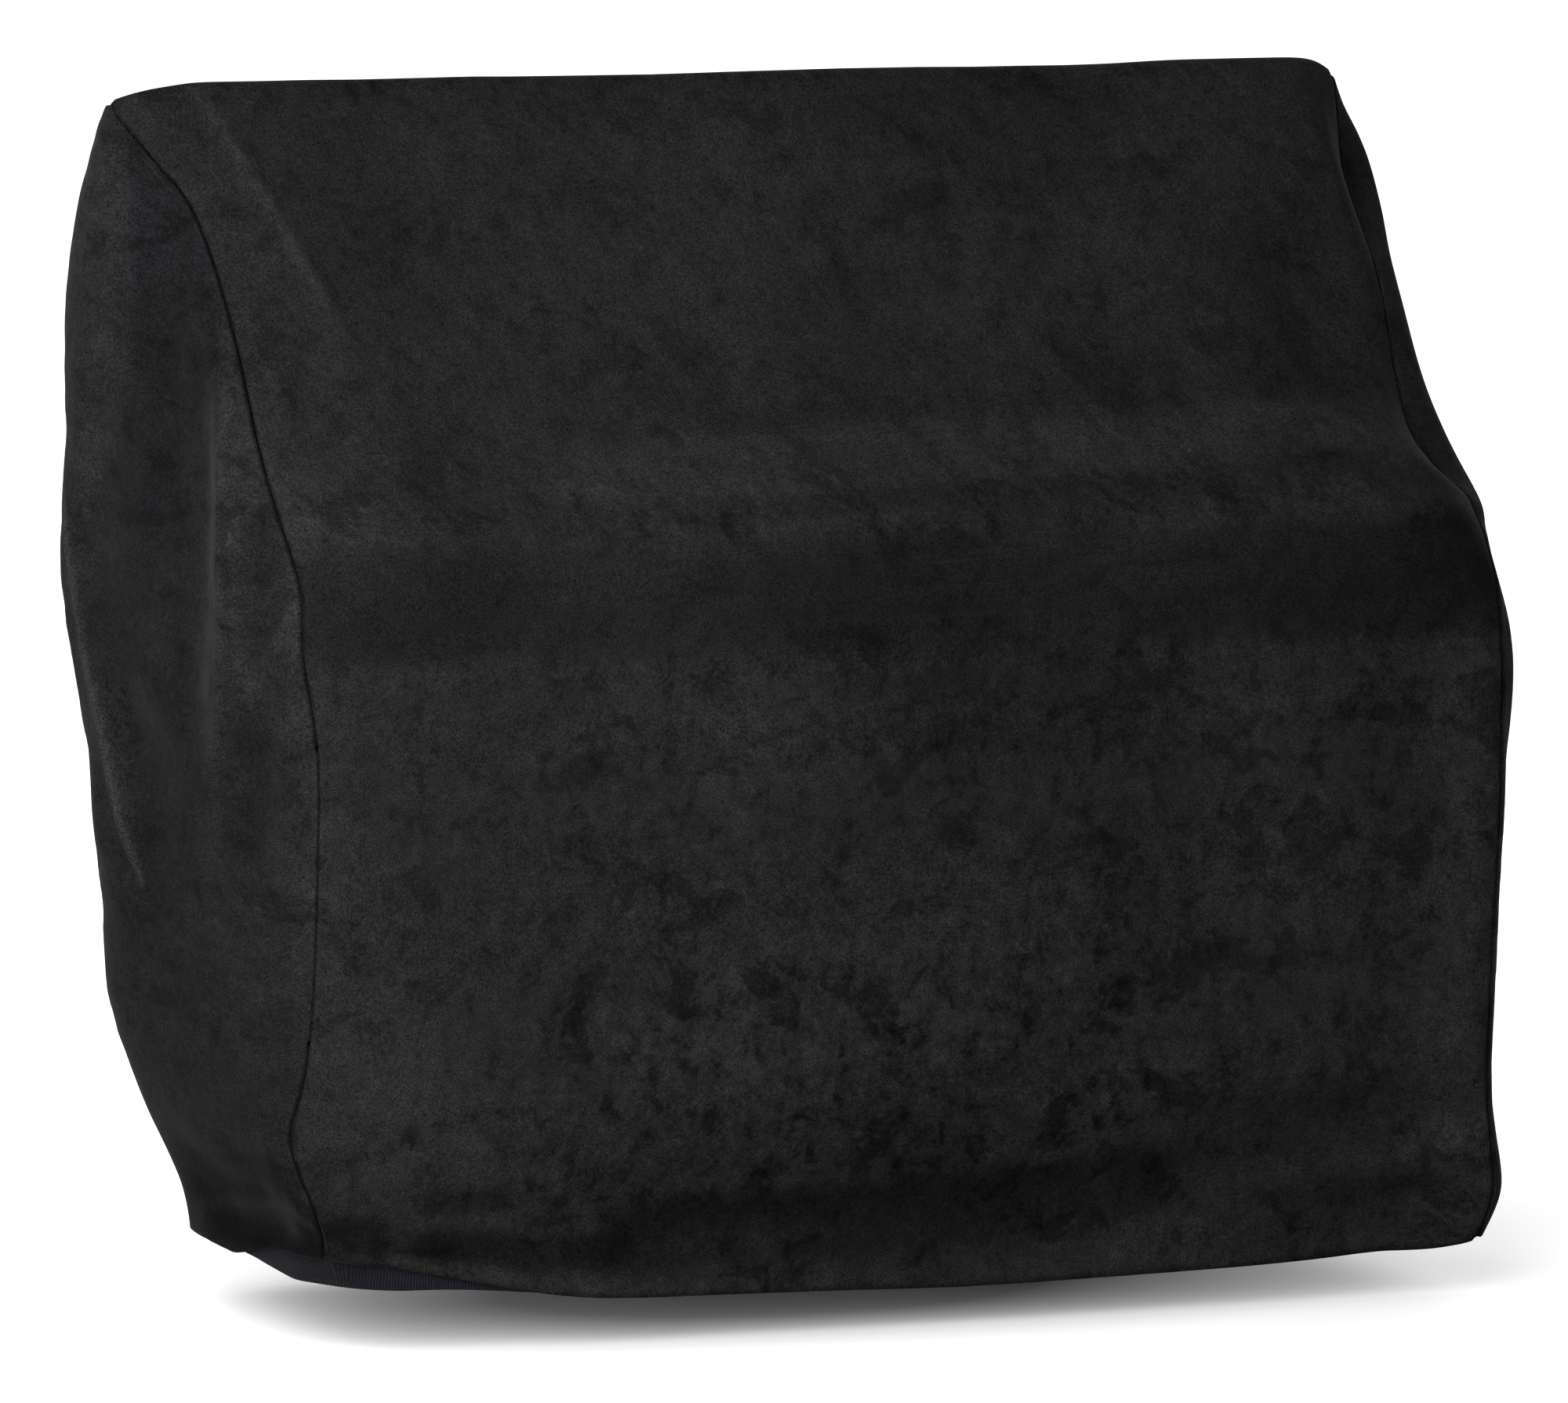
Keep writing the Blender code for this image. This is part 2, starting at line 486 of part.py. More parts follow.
def hem_ring(section, left, right):
    """The patches of the hem joined to one ring, run from the left front corner rightwards."""
    total = section.places[-1]
    columns = column_places()

    def front_point(across, height):
        return strip_point(section, across, height)

    def back_point(across, height):
        return strip_point(section, across, total - height)

    def left_point(share, height):
        return end_point(section, left, share, height, total - height)

    def right_point(share, height):
        return end_point(section, right, share, height, total - height)

    patches = (
        hem_patch(front_point, columns, FRONT_TAPE_RAISE),
        hem_patch(right_point, END_SHARES, RIGHT_END_TAPE_RAISE),
        hem_patch(back_point, list(reversed(columns)), BACK_TAPE_RAISE),
        hem_patch(left_point, list(reversed(END_SHARES)), LEFT_END_TAPE_RAISE),
    )
    points = [[] for _ in range(TAPE_ROWS)]
    normals = [[] for _ in range(TAPE_ROWS)]
    for number, (grid, directions) in enumerate(patches):
        before = patches[number - 1][1]
        for row in range(TAPE_ROWS):
            corner = (directions[row][0] + before[row][-1]).normalized()
            points[row] += grid[row][:-1]
            normals[row] += [corner] + directions[row][1:-1]
    return points, normals


def build_cover():
    """All four pieces."""
    section = Section()
    velour = cloth_material("black velour", VELOUR_BLACK, roughness=0.9, sheen=0.4)
    tape_cloth = cloth_material("ribbed tape", TAPE_NAVY, roughness=0.7, sheen=0.1)
    front_count = len(section.front_places)
    crest_count = len(section.crest_places)
    strip = strip_grid(section)
    strip_normals = grid_normals(strip)
    left = End("side_panel_left", -1, LEFT_END_FOLDS, LEFT_SWELL, LEFT_END_RAISE)
    right = End("side_panel_right", 1, RIGHT_END_FOLDS, RIGHT_SWELL, RIGHT_END_RAISE)
    for end in (left, right):
        grid = end_grid(section, end)
        normals = grid_normals(grid)
        share_edges(strip, strip_normals, grid, normals, end.side, front_count, crest_count)
        top, side_column = len(grid) - 1, len(grid[0]) - 1
        up = [(row, 0) for row in range(top)]
        over = [(top, column) for column in range(side_column)]
        down = [(row, side_column) for row in range(top, -1, -1)]
        outer = stand_back(grid, normals, up + over + down)
        shell(end.name, outer, offset_grid(outer, normals, CLOTH), velour)
    rows, right_column = range(len(strip)), len(strip[0]) - 1
    outer = stand_back(strip, strip_normals, [(row, 0) for row in rows])
    outer = stand_back(outer, strip_normals, [(row, right_column) for row in reversed(rows)])
    shell("main_panel", outer, offset_grid(outer, strip_normals, CLOTH), velour)
    points, normals = hem_ring(section, left, right)
    outer = offset_grid(points, normals, CLOTH + TAPE_GAP)
    inner = offset_grid(points, normals, CLOTH + TAPE_GAP + TAPE)
    shell("hem_tape", outer, inner, tape_cloth, closed=True)


for old in list(bpy.data.objects):
    bpy.data.objects.remove(old)
build_cover()
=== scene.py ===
import math

import bmesh
import bpy
import numpy as np
from mathutils import Matrix, Vector, noise
from mathutils.kdtree import KDTree


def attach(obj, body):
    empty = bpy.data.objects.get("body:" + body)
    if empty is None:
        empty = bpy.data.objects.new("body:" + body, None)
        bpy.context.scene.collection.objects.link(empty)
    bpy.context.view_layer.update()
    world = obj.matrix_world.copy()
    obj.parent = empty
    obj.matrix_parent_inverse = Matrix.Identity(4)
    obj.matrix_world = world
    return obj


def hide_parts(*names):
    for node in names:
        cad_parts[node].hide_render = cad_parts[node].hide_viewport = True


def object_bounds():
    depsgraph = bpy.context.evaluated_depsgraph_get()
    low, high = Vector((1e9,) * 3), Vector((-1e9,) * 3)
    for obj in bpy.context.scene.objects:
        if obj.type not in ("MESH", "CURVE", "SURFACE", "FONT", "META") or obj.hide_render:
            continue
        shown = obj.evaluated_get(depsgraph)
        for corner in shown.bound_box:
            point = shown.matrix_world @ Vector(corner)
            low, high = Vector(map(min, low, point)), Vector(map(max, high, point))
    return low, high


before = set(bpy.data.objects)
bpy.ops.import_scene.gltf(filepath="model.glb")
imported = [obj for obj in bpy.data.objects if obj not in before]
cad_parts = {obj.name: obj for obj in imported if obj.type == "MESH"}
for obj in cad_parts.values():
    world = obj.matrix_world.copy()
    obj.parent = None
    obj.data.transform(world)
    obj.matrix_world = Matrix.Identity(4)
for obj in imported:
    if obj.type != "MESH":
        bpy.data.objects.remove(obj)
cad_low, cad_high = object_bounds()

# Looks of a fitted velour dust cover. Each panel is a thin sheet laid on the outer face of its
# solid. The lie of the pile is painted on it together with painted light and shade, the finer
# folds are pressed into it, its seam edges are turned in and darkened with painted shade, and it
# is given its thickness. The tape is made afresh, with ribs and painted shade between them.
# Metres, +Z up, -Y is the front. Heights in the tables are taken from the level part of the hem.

HEM_LEVEL = -0.4349          # the height of the tables' zero in the frame

CLOTH = 0.0020               # thickness of the velour
TAPE = 0.0012                # thickness of the hem tape

# The velour sheets: the solid that each stands for, a place near that solid's outer face, and
# how many times its mesh is made finer
SHEETS = {
    "velour_strip": ("main_panel", (0.0, 0.0, 0.002), 2),
    "velour_end_left": ("side_panel_left", (-0.28, -0.03, -0.2), 3),
    "velour_end_right": ("side_panel_right", (0.28, -0.03, -0.2), 3),
}
TAPE_FACE = (0.0, -0.158, HEM_LEVEL)     # a place near the outer face of the tape's solid
SHEET_EDGE = 60.0            # degrees; an outer face ends where the mesh turns more than this
SAME_PLACE = 0.00001         # corners closer than this are one

# The cloth is never quite even: long soft waves and shorter ones, both calmer by the seams
WAVES = (                    # wave length, height
    (0.085, 0.0008),
    (0.034, 0.00035),
)
WAVE_FADE = 0.020            # the waves come up to full height this far from an edge
EDGE_WAVE = 0.25             # the share of the waves that is left at an edge

# Seams: the allowance is turned in, and the thread draws the cloth into small puckers
ALLOWANCE = 0.0060           # how deep the turned-in edge shows from inside
SEAM_DEPTH = 0.0011          # the thread pulls the cloth in by this much
SEAM_PAINTED_SHADE = 0.60             # the share of the colour that is left in the seam, as painted shade
FOLLOW = 0.022               # a panel's edge follows the neighbour's folds over this width
SEAM_REACH = 0.0025          # open edges closer than this are sewn together
SEAM_SLIT = 0.00012          # half the slit left between the two turned-in edges
PUCKER_LENGTH = 0.011        # along the cloth, from one pucker to the next
PUCKER_HEIGHT = 0.00045
PUCKER_WIDTH = 0.010         # the puckers die out this far from the seam
HEM_MARGIN = 0.024           # the allowance gets narrower over this height above the hem
HEM_SHARE = 0.15             # the share of the allowance that is left at the hem

# Paths that a fold and the painted light and shade along it share
LEFT_RIDGE = ((-0.228, 0.435), (-0.224, 0.426), (-0.220, 0.415), (-0.2155, 0.402),
              (-0.209, 0.3855), (-0.2045, 0.372), (-0.200, 0.361))
RIGHT_DENT = ((0.190, 0.366), (0.200, 0.347), (0.205, 0.321))
FRONT_RIDGE = ((-0.068, 0.352), (-0.086, 0.328), (-0.098, 0.304), (-0.104, 0.276),
               (-0.108, 0.248), (-0.106, 0.224), (-0.100, 0.206), (-0.087, 0.191))
REAR_RIDGE = ((0.062, 0.277), (0.057, 0.268), (0.053, 0.259), (0.048, 0.249), (0.042, 0.234),
              (0.036, 0.221), (0.025, 0.205), (0.0145, 0.1895), (0.0035, 0.174), (-0.008, 0.160),
              (-0.018, 0.150), (-0.026, 0.141))
SHORT_PULL_ONE = ((-0.1267, 0.2266), (-0.1462, 0.2463), (-0.1568, 0.2612))
SHORT_PULL_TWO = ((-0.1115, 0.2809), (-0.1150, 0.2899), (-0.1181, 0.2960))
HEM_WRINKLE_ONE = ((-0.027, 0.0265), (-0.082, 0.0358), (-0.144, 0.0455))
HEM_WRINKLE_TWO = ((-0.046, 0.0141), (-0.074, 0.0177), (-0.115, 0.0230), (-0.146, 0.0274))

# Finer folds. path: places as seen straight from the front (x, z) or from an end (y, z);
# width: how far the fold runs out on each side; rise: outwards, or inwards. A crisp fold has a
# sharp middle and a soft one a round middle; a through fold is soft and doesn't die out at its ends
FOLD_END = 0.025             # crisp and soft folds get lower over this length
FOLD_END_SHARE = 0.15        # the share of their height that is left at the very end
STRIP_FOLDS = (
    # name                 kind       width   rise     path
    ("ledge edge",         "through", 0.014,  0.0010,  ((-0.243, 0.288), (0.000, 0.288),
                                                        (0.238, 0.286))),
    ("crease below band",  "through", 0.020, -0.0010,  ((-0.243, 0.244), (0.000, 0.244),
                                                        (0.241, 0.241))),
    ("left ridge line",    "crisp",   0.006,  0.0012,  LEFT_RIDGE + ((-0.194, 0.336),)),
    ("left seam crease",   "crisp",   0.004,  0.0009,  ((-0.230, 0.346), (-0.229, 0.338),
                                                        (-0.2255, 0.322))),
    ("right dark dent",    "soft",    0.016, -0.0024,  RIGHT_DENT),
    ("ledge wrinkle one",  "soft",    0.008,  0.0016,  ((0.196, 0.312), (0.238, 0.291))),
    ("ledge wrinkle two",  "soft",    0.009,  0.0014,  ((0.177, 0.303), (0.196, 0.281))),
    ("under band roll",    "soft",    0.014,  0.0012,  ((0.000, 0.060), (0.100, 0.066),
                                                        (0.212, 0.074))),
    ("under band hollow",  "soft",    0.018, -0.0022,  ((-0.110, 0.023), (0.010, 0.027),
                                                        (0.110, 0.037), (0.205, 0.051))),
    ("right hem dent",     "soft",    0.010, -0.0016,  ((0.200, 0.026), (0.240, 0.009))),
    ("left hem hollow",    "soft",    0.008, -0.0022,  ((-0.232, 0.030), (-0.216, 0.031),
                                                        (-0.192, 0.020), (-0.149, 0.014))),
    ("left hem ridge",     "crisp",   0.007,  0.0014,  ((-0.196, 0.036), (-0.170, 0.031),
                                                        (-0.134, 0.024))),
)
LEFT_END_FOLDS = (
    # name                  kind       width   rise     path
    ("trough",              "soft",    0.042, -0.0042,  ((-0.052, 0.345), (-0.055, 0.320),
                                                         (-0.060, 0.280), (-0.065, 0.240),
                                                         (-0.055, 0.200))),
    ("rear of the trough",  "soft",    0.038,  0.0042,  ((-0.010, 0.335), (-0.008, 0.320),
                                                         (-0.002, 0.280), (0.008, 0.240),
                                                         (0.008, 0.205))),
    ("front ridge",         "crisp",   0.006,  0.0008,  FRONT_RIDGE),
    ("rear ridge",          "crisp",   0.010,  0.0028,  REAR_RIDGE),
    ("short pull one",      "crisp",   0.007,  0.0014,  SHORT_PULL_ONE),
    ("short pull two",      "crisp",   0.006,  0.0010,  SHORT_PULL_TWO),
    ("hem wrinkle one",     "soft",    0.008, -0.0012,  HEM_WRINKLE_ONE),
    ("hem wrinkle two",     "soft",    0.007, -0.0014,  HEM_WRINKLE_TWO),
)
RIGHT_END_FOLDS = (
    # name         kind       width   rise     path
    ("low ridge",  "soft",    0.010,  0.0012,  ((-0.150, 0.258), (-0.155, 0.215),
                                                (-0.150, 0.176))),
)

# Painted light and shade, with some patches where the pile lies another way: lighter where light
# falls on the ledge, the ridge and fold lines, the upper rear and beside the seams; darker under
# the ledge, in dents and hollows and above the hem. path as for the folds; width: the half width of
# the full change; edge: how far it runs out; change: the share added or taken
STRIP_NAP_AND_PAINTED_LIGHT = (
    # name                       width    edge    change  path
    ("ledge",                    0.0155,  0.009,  0.44,  ((-0.120, 0.302), (0.234, 0.300))),
    ("ledge, left",              0.0155,  0.010,  0.10,  ((-0.225, 0.302), (-0.150, 0.302))),
    ("band, left",               0.016,   0.011, -0.25,  ((-0.243, 0.2615), (0.000, 0.2615))),
    ("band, by the seam",        0.014,   0.014, -0.20,  ((-0.235, 0.262), (-0.190, 0.262))),
    ("band, middle",             0.018,   0.010, -0.16,  ((-0.060, 0.261), (0.090, 0.2605))),
    ("band, right",              0.018,   0.010, -0.38,  ((0.125, 0.260), (0.240, 0.2585))),
    ("front, below the band",    0.014,   0.018, -0.25,  ((0.000, 0.222), (0.100, 0.220))),
    ("front, middle",            0.025,   0.050, -0.20,  ((0.010, 0.205), (0.060, 0.170),
                                                          (0.070, 0.120))),
    ("above the hem",            0.012,   0.030, -0.22,  ((-0.110, 0.048), (-0.030, 0.048),
                                                          (0.010, 0.062))),
    ("front, low left",          0.012,   0.030,  0.20,  ((-0.212, 0.085), (-0.205, 0.055))),
    ("beside the right seam",    0.012,   0.030,  0.40,  ((0.238, 0.215), (0.238, 0.060))),
    ("hem line, left",           0.0010,  0.003, -0.40,  ((-0.2116, 0.0250), (-0.1923, 0.0200),
                                                          (-0.1767, 0.0180))),
    ("smudge above it",          0.003,   0.006, -0.35,  ((-0.189, 0.0400), (-0.166, 0.0385))),
    ("right dark dent",          0.006,   0.020, -0.25,  RIGHT_DENT),
    ("dark patch on the slope",  0.022,   0.012, -0.16,  ((0.050, 0.410), (0.130, 0.412))),
    ("dark ear",                 0.006,   0.005, -0.14,  ((-0.2375, 0.4315), (-0.2380, 0.4235),
                                                          (-0.2385, 0.4150), (-0.2385, 0.4080))),
    ("left ridge line",          0.0008,  0.003,  0.40,  LEFT_RIDGE),
)
LEFT_END_NAP_AND_PAINTED_LIGHT = (
    # name                width    edge    change  path
    ("lower part",        0.055,   0.060, -0.10,  ((-0.120, 0.050), (-0.020, 0.050))),
    ("upper rear",        0.010,   0.026,  0.45,  ((0.020, 0.390), (0.028, 0.350), (0.030, 0.330),
                                                   (0.033, 0.305))),
    ("behind the seam",   0.007,   0.014, -0.28,  ((-0.130, 0.285), (-0.138, 0.250))),
    ("front ridge line",  0.001,   0.004,  0.25,  FRONT_RIDGE),
    ("rear ridge line",   0.0008,  0.0024, 1.40,  REAR_RIDGE),
    ("short pull one",    0.0008,  0.004,  0.35,  SHORT_PULL_ONE),
    ("short pull two",    0.0008,  0.004,  0.30,  SHORT_PULL_TWO),
    ("seam hollow",       0.006,   0.018, -0.30,  ((-0.124, 0.205), (-0.126, 0.190),
                                                   (-0.118, 0.172))),
    ("hem corner",        0.016,   0.012, -0.38,  ((-0.030, 0.024), (-0.140, 0.037))),
    ("hem dark line",     0.0010,  0.003, -0.42,  ((-0.022, 0.0347), (-0.082, 0.0454),
                                                   (-0.143, 0.0556))),
)

# Painted shade in the hollows, the trough and the hem wrinkles, a little coloured
STRIP_PAINTED_SHADE = (
    # name                width    edge    change  path
    ("hem hollow, left",  0.0035,  0.005, -0.42,  ((-0.231, 0.0310), (-0.222, 0.0287),
                                                   (-0.2116, 0.0250))),
    ("hem band, left",    0.004,   0.006, -0.56,  ((-0.189, 0.0235), (-0.165, 0.0205),
                                                   (-0.1445, 0.0165), (-0.115, 0.018))),
    ("hem band",          0.008,   0.014, -0.48,  ((-0.110, 0.019), (-0.065, 0.021),
                                                   (0.000, 0.023), (0.065, 0.028),
                                                   (0.100, 0.033))),
    ("hem band right",    0.006,   0.014, -0.20,  ((0.115, 0.037), (0.150, 0.045), (0.185, 0.052),
                                                   (0.225, 0.060))),
)
LEFT_END_PAINTED_SHADE = (
    # name                  width    edge    change  path
    ("trough",              0.020,   0.028, -0.25,  ((-0.022, 0.395), (-0.020, 0.380),
                                                     (-0.022, 0.355), (-0.032, 0.330),
                                                     (-0.048, 0.300), (-0.052, 0.270),
                                                     (-0.055, 0.240), (-0.050, 0.205),
                                                     (-0.045, 0.170))),
    ("rear of the trough",  0.010,   0.026, -0.24,  ((0.000, 0.285), (0.000, 0.240))),
    ("hem dark band",       0.003,   0.006, -0.78,  HEM_WRINKLE_ONE),
    ("hem wrinkle",         0.004,   0.006, -0.64,  HEM_WRINKLE_TWO),
)
STRIP_SHADE_TINT = (1.00, 1.00, 1.18)          # a little blue
END_SHADE_TINT = (1.00, 0.70, 1.10)            # a little purple

# Where the pile is crushed it looks mottled. The tables change how crushed it is, in the same way
STRIP_CRUSHED = 0.68         # how crushed the strip is where its table says nothing
END_CRUSHED = 0.60           # and the end panels
STRIP_CRUSH = (
    # name                    width    edge    change  path
    ("slope",                 0.075,   0.035, -0.35,  ((-0.234, 0.362), (0.000, 0.362),
                                                       (0.237, 0.360))),
    ("band below the ledge",  0.014,   0.012, -0.45,  ((-0.243, 0.263), (0.000, 0.263),
                                                       (0.240, 0.260))),
    ("left part",             0.010,   0.120, -0.25,  ((-0.235, 0.060), (-0.225, 0.230))),
    ("low in the middle",     0.020,   0.050,  0.40,  ((-0.134, 0.078), (0.070, 0.085))),
)
LEFT_END_CRUSH = (
    # name               width    edge    change  path
    ("rear ridge line",  0.003,   0.004, -1.00,  ((0.062, 0.277), (0.053, 0.259), (0.042, 0.234),
                                                  (0.025, 0.205), (0.0035, 0.174),
                                                  (-0.026, 0.141))),
)

# The tape is woven with fine upright ribs
RIB_PITCH = 0.00115          # from one rib to the next
RIB_HEIGHT = 0.00014
RIB_POINTS = 4               # mesh columns for each rib
TAPE_RISES = 4               # mesh faces up the width of the tape
TOP_READINGS = 4             # places read along the top edge for each column of the foot

# Colours, and what is set on each cloth's shader
VELOUR_COOL = (0.0101, 0.0101, 0.0102, 1.0)
VELOUR_WARM = (0.0103, 0.0101, 0.0102, 1.0)
VELOUR_FINISH = {
    "Roughness": 0.95,
    "Specular IOR Level": 0.02,
    "Sheen Weight": 0.03,
    "Sheen Roughness": 0.2,
    "Sheen Tint": (0.9, 0.88, 0.88, 1.0),
}
BACKING_COLOUR = (0.011, 0.011, 0.012, 1.0)
BACKING_FINISH = {"Roughness": 0.9, "Specular IOR Level": 0.1}
TAPE_COLOUR = (0.0052, 0.0049, 0.0072, 1.0)
TAPE_FINISH = {"Roughness": 0.75, "Specular IOR Level": 0.05, "Sheen Weight": 0.02}
RIB_PAINTED_SHADING = ((0.0, 0.35), (1.0, 1.50))   # painted shade between the ribs and a painted highlight on them

# A long lens, off to the left and a little above, tilted a shade
LENS = 324.0
SENSOR = 36.0
SEEN_TO = 50.0               # how far the camera sees
CAMERA_AIM = (0.0, -0.08, -0.2149)
CAMERA_DISTANCE = 5.3105
CAMERA_AZIMUTH = -25.0
CAMERA_ELEVATION = 8.12
CAMERA_ROLL = 0.0235
CAMERA_SHIFT = (-0.02425, -0.022)

# A pale sweep. It glows with painted light that goes by the distance from the cover in stretched
# measures and is left out under the cover as a painted shadow: from this distance to that, and from
# this strength to that
FLOOR_SIZE = 24.0
FLOOR_DROP = 0.017           # the floor lies this far below the hem
FLOOR_TONES = ((0.3, 0.86), (0.7, 0.88))
PAINTED_FLOOR_LIGHT_STRETCH = (4.0, 8.0, 0.0)
PAINTED_FLOOR_LIGHT_PLACE = (0.0, 0.4, 0.0)
NEAR_GLOW_AND_PAINTED_SHADOW = (0.45, 1.10, 0.0, 0.3)
FAR_PAINTED_LIGHT = (6.0, 14.0, 0.0, 0.8)
SKY = (-0.5, 0.8, 0.02, 0.15)            # from this height in the sky to that, and the strengths
WHITE = (1.0, 1.0, 1.0, 1.0)
LIGHTS = (
    # name          place                  aim                    size        watts
    ("key",         (-0.62, -0.95, 0.00),  (-0.05, -0.10, -0.2),  (0.8, 0.8), 26.0),
    ("side",        (-1.40, 0.10, 0.10),   (0.00, -0.05, -0.2),   (1.2, 1.2), 12.0),
    ("rim left",    (-0.80, 1.40, 0.20),   (-0.25, 0.00, -0.2),   (1.0, 1.2), 6.0),
    ("top",         (-0.10, -0.10, 1.30),  (0.00, -0.05, -0.2),   (1.2, 1.2), 7.5),
    ("rim behind",  (0.10, 1.30, 0.55),    (0.00, 0.00, 0.0),     (1.6, 0.6), 12.0),
    ("rim right",   (1.25, 0.60, 0.10),    (0.25, -0.05, -0.2),   (0.8, 1.2), 8.0),
)


def only(piece):
    """Select one piece and nothing else."""
    bpy.ops.object.select_all(action="DESELECT")
    piece.select_set(True)
    bpy.context.view_layer.objects.active = piece


def add_piece(name, mesh):
    """A new object with a mesh, alone in the selection."""
    piece = bpy.data.objects.new(name, mesh)
    bpy.context.scene.collection.objects.link(piece)
    only(piece)
    return piece


def outer_sheet(node, name, near):
    """A sheet cut from the outer face of a node's solid, found from a place near that face."""
    piece = add_piece(name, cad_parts[node].data.copy())
    bpy.ops.mesh.customdata_custom_splitnormals_clear()
    bpy.ops.object.mode_set(mode="EDIT")
    bpy.ops.mesh.select_mode(type="FACE")
    bpy.ops.mesh.select_all(action="SELECT")
    bpy.ops.mesh.remove_doubles(threshold=SAME_PLACE)
    bpy.ops.mesh.tris_convert_to_quads(face_threshold=math.pi, shape_threshold=math.pi)
    bpy.ops.mesh.mark_sharp(clear=True)
    bpy.ops.mesh.select_all(action="DESELECT")
    mesh = bmesh.from_edit_mesh(piece.data)
    seed = min(mesh.faces, key=lambda face: (face.calc_center_median() - Vector(near)).length)
    seed.select_set(True)
    bpy.ops.mesh.faces_select_linked_flat(sharpness=math.radians(SHEET_EDGE))
    bpy.ops.mesh.select_all(action="INVERT")
    bpy.ops.mesh.delete(type="FACE")
    bpy.ops.object.mode_set(mode="OBJECT")
    piece.data.materials.clear()
    return piece


def apply_modifier(piece, modifier):
    """Make a modifier's result the piece's own mesh."""
    only(piece)
    bpy.ops.object.modifier_apply(modifier=modifier.name)


def smooth_mesh(piece, levels):
    """Make a sheet's mesh finer and rounder."""
    modifier = piece.modifiers.new("soft cloth", "SUBSURF")
    modifier.levels = levels
    modifier.render_levels = levels
    modifier.boundary_smooth = "PRESERVE_CORNERS"
    apply_modifier(piece, modifier)


def points_of(piece):
    """The places of a piece's vertices, a row for each."""
    found = np.empty(len(piece.data.vertices) * 3)
    piece.data.vertices.foreach_get("co", found)
    return found.reshape(-1, 3)


def normals_of(piece):
    """The way out of the cloth at each vertex."""
    found = np.empty(len(piece.data.vertices) * 3, np.float32)
    piece.data.vertex_normals.foreach_get("vector", found)
    return found.reshape(-1, 3).astype(float)


def move_to(piece, points):
    """Put a piece's vertices at new places."""
    piece.data.vertices.foreach_set("co", points.astype(np.float32).ravel())
    piece.data.update()


def tree_of(points):
    """A search tree that finds the nearest of some points."""
    tree = KDTree(len(points))
    for number, point in enumerate(points):
        tree.insert(point, number)
    tree.balance()
    return tree


def edge_numbers(piece):
    """The vertices on the sheet's open edge."""
    mesh = bmesh.new()
    mesh.from_mesh(piece.data)
    found = [vertex.index for vertex in mesh.verts if vertex.is_boundary]
    mesh.free()
    return found


def edge_of(piece):
    """The places and the normals along the sheet's open edge."""
    numbers = edge_numbers(piece)
    return points_of(piece)[numbers], normals_of(piece)[numbers]


VIEWS = {                    # where a path is seen from, and the direction it is seen in
    "front": (lambda across, up: Vector((across, -1.0, up + HEM_LEVEL)), Vector((0.0, 1.0, 0.0))),
    "left": (lambda across, up: Vector((-1.0, across, up + HEM_LEVEL)), Vector((1.0, 0.0, 0.0))),
    "right": (lambda across, up: Vector((1.0, across, up + HEM_LEVEL)), Vector((-1.0, 0.0, 0.0))),
}


def laid_path(piece, path, view):
    """The places of a path on the sheet itself."""
    start_of, direction = VIEWS[view]
    found = []
    for across, up in path:
        hit, place, _, _ = piece.ray_cast(start_of(across, up), direction)
        if hit:
            found.append(place)
    return np.array(found)


def distance_to(points, path):
    """How far each point is from a path, and how far along it from the path's nearer end."""
    best = np.full(len(points), np.inf)
    along = np.zeros(len(points))
    lengths = np.linalg.norm(np.diff(path, axis=0), axis=1)
    done = 0.0
    for start, end, length in zip(path, path[1:], lengths):
        share = np.clip((points - start) @ (end - start) / length**2, 0.0, 1.0)
        away = np.linalg.norm(points - start - share[:, None] * (end - start), axis=1)
        closer = away < best
        best[closer] = away[closer]
        along[closer] = done + length * share[closer]
        done += length
    return best, np.minimum(along, done - along)


def smooth_share(share):
    """A share from 0 to 1, eased at both ends."""
    share = np.clip(share, 0.0, 1.0)
    return share * share * (3.0 - 2.0 * share)


def press_folds(piece, folds, view):
    """Press a table of folds into a sheet."""
    bpy.context.view_layer.update()
    points, normals = points_of(piece), normals_of(piece)
    moved = points.copy()
    for _, kind, width, rise, path in folds:
        line = laid_path(piece, path, view)
        if len(line) < 2:
            continue
        away, from_end = distance_to(points, line)
        share = np.clip(1.0 - away / width, 0.0, 1.0)
        bell = share**2 if kind == "crisp" else (1.0 - (1.0 - share) ** 2) ** 2
        if kind != "through":
            end = smooth_share(from_end / FOLD_END)
            bell = bell * (FOLD_END_SHARE + (1.0 - FOLD_END_SHARE) * end)
        moved += normals * (rise * bell)[:, None]
    move_to(piece, moved)


def patch_values(piece, patches, view, start):
    """A value for each point: a start value, changed along the patches of a table."""
    points = points_of(piece)
    values = np.full(len(points), start)
    for _, width, edge, change, path in patches:
        line = laid_path(piece, path, view)
        if len(line) < 2:
            continue
        away, _ = distance_to(points, line)
        values *= 1.0 + change * smooth_share((width + edge - away) / edge)
    return values


